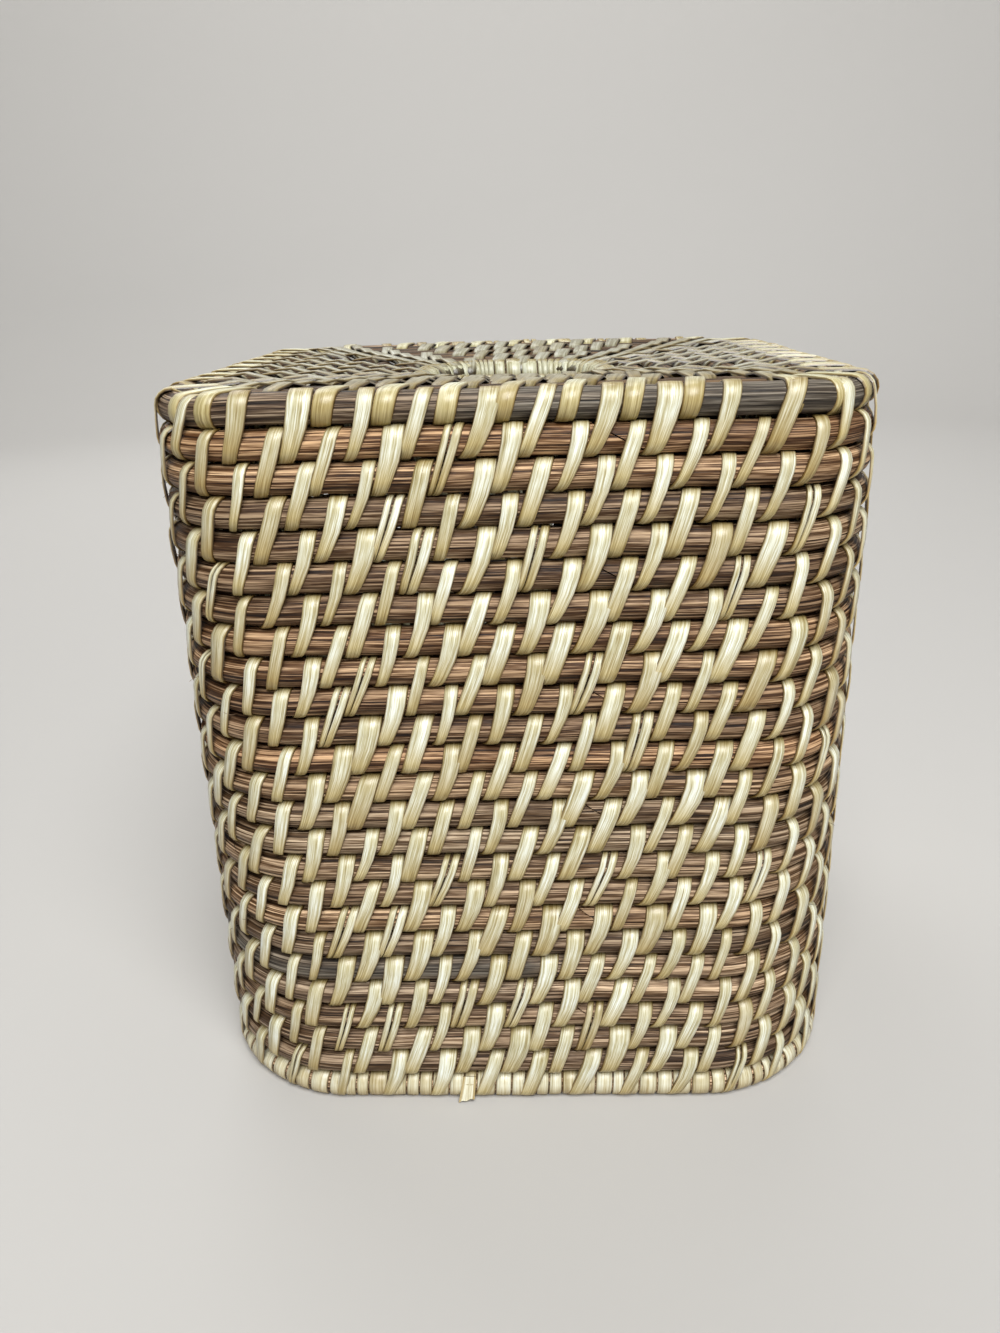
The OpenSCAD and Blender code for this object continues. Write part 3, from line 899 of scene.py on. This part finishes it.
def makeFibreTree():
    tree = newTree("fibreTree", (
        ("Fibre Radius", "NodeSocketFloat", 0.00007), ("Sides", "NodeSocketInt", 4),
        ("Material", "NodeSocketMaterial", None),
    ))
    start = addNode(tree, "NodeGroupInput", (-900, 0)).outputs
    toCurve = addNode(tree, "GeometryNodeMeshToCurve", (-700, 100))
    thin = addNode(tree, "GeometryNodeSetCurveRadius", (-500, 100))
    circle = addNode(tree, "GeometryNodeCurvePrimitiveCircle", (-500, -150))
    sweep = addNode(tree, "GeometryNodeCurveToMesh", (-300, 50))
    sweep.inputs["Fill Caps"].default_value = True
    tree.links.new(start["Geometry"], toCurve.inputs[0])
    tree.links.new(toCurve.outputs[0], thin.inputs["Curve"])
    tree.links.new(readAttribute(tree, "taper", "FLOAT", (-700, -150)), thin.inputs["Radius"])
    tree.links.new(start["Sides"], circle.inputs["Resolution"])
    tree.links.new(start["Fibre Radius"], circle.inputs["Radius"])
    tree.links.new(thin.outputs[0], sweep.inputs["Curve"])
    tree.links.new(circle.outputs["Curve"], sweep.inputs["Profile Curve"])
    if "Scale" in sweep.inputs:
        tree.links.new(readAttribute(tree, "taper", "FLOAT", (-500, -350)), sweep.inputs["Scale"])
    finishTree(tree, sweep.outputs[0], start["Material"], (-100, 50))
    return tree


def looseFibres():
    dice = random.Random(fibre["seed"])
    verts, edges, taper, run, tone = [], [], [], [], []
    for _ in range(fibre["count"]):
        k = dice.randrange(edgeCourse, footCourse - 1)
        atCorner = dice.random() < fibre["cornerShare"]
        local = (halfSide(k) + dice.uniform(*fibre["cornerSpread"]) * cornerRadius(k) if atCorner
                 else dice.uniform(-1, 1) * halfSide(k))
        place, h = laidPoint(k, dice.randrange(4) * quarter(k) + local)
        heading, outward = directions(h)
        length = dice.uniform(*fibre["length"]) * (1.0 if atCorner else fibre["shorter"])
        side, curl, lift = (dice.uniform(*fibre[way]) for way in ("side", "curl", "lift"))
        base = place - Vector((0, 0, fibre["below"])) + outward * fibre["outward"]
        first, own = len(verts), dice.random()
        dark, more = fibre["tone"]
        for n in range(fibre["stops"]):
            t = n / (fibre["stops"] - 1)
            bow = heading * (side * t + curl * t * t) + Vector((0, 0, lift * t * t))
            verts.append((base + (outward * (1 - fibre["settle"] * t) * t + bow * fibre["bow"]) * length) * mm)
            taper.append(1 - fibre["thinning"] * t)
            run.append((t * length + 100 * own) * mm)  # each fibre has its own stretch of grain
            tone.append((dark + more * own, dark + more * own, dark + more * own, 1))
        edges += [(first + n, first + n + 1) for n in range(fibre["stops"] - 1)]
    mesh = bpy.data.meshes.new("fibrePaths")
    mesh.from_pydata(verts, edges, [])
    setAttribute(mesh, "taper", "FLOAT", taper)
    setAttribute(mesh, "rodRun", "FLOAT", run)
    setAttribute(mesh, "rodTone", "FLOAT_COLOR", tone)
    return runTree("loose_fibres", mesh, makeFibreTree(), {
        "Fibre Radius": fibre["radius"] * mm, "Sides": fibre["sides"], "Material": upperRattan,
    })


loose = {
    "rows": 7, "columns": 5, "middle": -12.2, "topWidth": 2.7, "spread": 0.8, "drift": 0.8, "topHeight": 5.7,
    "foot": 0.1, "thickness": 0.35, "inset": 2.0, "hang": 1.4, "standOff": 0.35, "fray": 0.4, "slant": 0.25,
    "grain": (5, 4, 0.4), "shade": 0.7, "face": 0.4,
}


def looseEnd():
    # the end of a strip has come off the base rim at the front and stands out a little
    rows, columns = loose["rows"], loose["columns"]
    front = -halfWidth(footCourse) - loose["inset"]
    long, wide, thick = loose["grain"]
    verts, fibres, faces = [], [], []
    for layer in (0, 1):
        for r in range(rows):
            t = r / (rows - 1)
            out = loose["hang"] * math.sin(math.pi / 2 * t) + loose["standOff"] * t * t
            for c in range(columns):
                s = c / (columns - 1) - 0.5
                x = loose["middle"] + s * (loose["topWidth"] + loose["spread"] * t) - loose["drift"] * t
                ragged = (loose["fray"] * (c % 2) + loose["slant"] * c) * (r == rows - 1)
                z = loose["topHeight"] + (loose["foot"] - loose["topHeight"]) * t + ragged
                verts.append(Vector((x, front - out - layer * loose["thickness"], z)) * mm)
                fibres.append((t * long * mm, s * wide * mm, layer * thick * mm))
    size = rows * columns
    for r in range(rows - 1):
        for c in range(columns - 1):
            a = r * columns + c
            faces.append((a, a + 1, a + columns + 1, a + columns))
            faces.append((size + a, size + a + columns, size + a + columns + 1, size + a + 1))
    rim = ([c for c in range(columns - 1)] + [r * columns + columns - 1 for r in range(rows - 1)]
           + [size - 1 - c for c in range(columns - 1)] + [r * columns for r in range(rows - 1, 0, -1)])
    for n, a in enumerate(rim):
        b = rim[(n + 1) % len(rim)]
        faces.append((b, a, size + a, size + b))
    mesh = bpy.data.meshes.new("loose_end")
    mesh.from_pydata(verts, [], faces)
    setAttribute(mesh, "fibre", "FLOAT_VECTOR", fibres)
    setAttribute(mesh, "shade", "FLOAT", [loose["shade"]] * len(verts))
    # the share of 0.4 puts the whole loose end at the painted highlight of the cane's colour along the way
    setAttribute(mesh, "face", "FLOAT", [loose["face"]] * len(verts))
    mesh.materials.append(baseCane)
    end = bpy.data.objects.new("loose_end", mesh)
    bpy.context.scene.collection.objects.link(end)
    return end


for piece, slotName in ((looseFibres(), "upper_wall_rattan"), (looseEnd(), "base_cane_strip")):
    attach(piece, "root")
print("fibres loosened")


studio = {
    "floorColour": (0.47, 0.455, 0.435), "worldColour": (0.96, 0.98, 1.0), "worldStrength": 0.065,
    "fillPower": 3.0, "fillSize": 0.7, "fillPlace": (-0.45, 0.70, 0.85),
    "keyPower": 19.5, "keySize": 0.8, "keyPlace": (0.12, -0.66, 0.98), "lightColour": (0.985, 0.997, 1.0),
    "wallPower": 16.5, "wallSize": 1.0, "wallPlace": (0.0, 0.75, 1.35), "wallAim": (0.0, 1.7, 0.45),
    "coveRadius": 1.1, "coveBend": 0.6, "coveTop": 1.5, "coveSteps": 12, "coveSides": 96,
    "coveRoughness": 0.8, "coveSpecular": 0.2, "aim": (0.0, 0.0, 0.07),
}
# angles in radians; the lens is in widths of the sensor
view = {
    "place": (0.0020, -0.2427, 0.1697), "yaw": -0.0297, "pitch": math.atan(0.3878), "roll": -0.0262,
    "sensor": 36, "lens": 1.003, "clip": 0.01,
}


def makeCove():
    # a round floor that bends up into a wall, with no line between them
    profile = [(0.0, 0.0), (studio["coveRadius"], 0.0)]
    for n in range(1, studio["coveSteps"] + 1):
        a = math.pi / 2 * n / studio["coveSteps"]
        profile.append((studio["coveRadius"] + studio["coveBend"] * math.sin(a),
                        studio["coveBend"] * (1 - math.cos(a))))
    profile.append((studio["coveRadius"] + studio["coveBend"], studio["coveTop"]))
    around = studio["coveSides"]
    verts = [(0, 0, 0)]
    for r, z in profile[1:]:
        verts += [(r * math.cos(2 * math.pi * n / around), r * math.sin(2 * math.pi * n / around), z)
                  for n in range(around)]
    faces = [(0, 1 + n, 1 + (n + 1) % around) for n in range(around)]
    for ring in range(len(profile) - 2):
        low, high = 1 + ring * around, 1 + (ring + 1) * around
        faces += [(low + n, high + n, high + (n + 1) % around, low + (n + 1) % around) for n in range(around)]
    mesh = bpy.data.meshes.new("cove")
    mesh.from_pydata(verts, [], faces)
    mesh.polygons.foreach_set("use_smooth", [True] * len(faces))
    cove = bpy.data.objects.new("cove", mesh)
    bpy.context.scene.collection.objects.link(cove)
    material, _, shader = newMaterial("covePaint", studio["coveRoughness"], studio["coveSpecular"])
    shader.inputs["Base Color"].default_value = (*studio["floorColour"], 1)
    mesh.materials.append(material)


def areaLight(name, place, size, power, aim):
    light = bpy.data.lights.new(name, "AREA")
    light.shape = "DISK"
    light.size = size
    light.energy = power
    light.color = studio["lightColour"]
    lamp = bpy.data.objects.new(name, light)
    lamp.location = place
    lamp.rotation_euler = (Vector(aim) - Vector(place)).to_track_quat("-Z", "Y").to_euler()
    bpy.context.scene.collection.objects.link(lamp)


def makeCamera():
    yaw, pitch, roll = view["yaw"], view["pitch"], view["roll"]
    ahead = Vector((math.sin(yaw), math.cos(yaw), 0))
    right = Vector((math.cos(yaw), -math.sin(yaw), 0))
    forward = ahead * math.cos(pitch) - Vector((0, 0, math.sin(pitch)))
    upward = ahead * math.sin(pitch) + Vector((0, 0, math.cos(pitch)))
    xAxis = right * math.cos(roll) + upward * math.sin(roll)
    yAxis = upward * math.cos(roll) - right * math.sin(roll)
    data = bpy.data.cameras.new("camera")
    data.sensor_fit = "HORIZONTAL"
    data.sensor_width = view["sensor"]
    data.lens = view["sensor"] * view["lens"]
    data.clip_start = view["clip"]
    camera = bpy.data.objects.new("camera", data)
    pose = Matrix((xAxis, yAxis, -forward)).transposed().to_4x4()
    pose.translation = Vector(view["place"])
    camera.matrix_world = pose
    bpy.context.scene.collection.objects.link(camera)
    bpy.context.scene.camera = camera


makeCove()
areaLight("key", studio["keyPlace"], studio["keySize"], studio["keyPower"], studio["aim"])
areaLight("fill", studio["fillPlace"], studio["fillSize"], studio["fillPower"], studio["aim"])
areaLight("wallWash", studio["wallPlace"], studio["wallSize"], studio["wallPower"], studio["wallAim"])
world = bpy.data.worlds.new("studio")
world.use_nodes = True
sky = world.node_tree.nodes["Background"].inputs
sky["Color"].default_value = (*studio["worldColour"], 1)
sky["Strength"].default_value = studio["worldStrength"]
bpy.context.scene.world = world
bpy.context.scene.view_settings.view_transform = "Standard"
makeCamera()
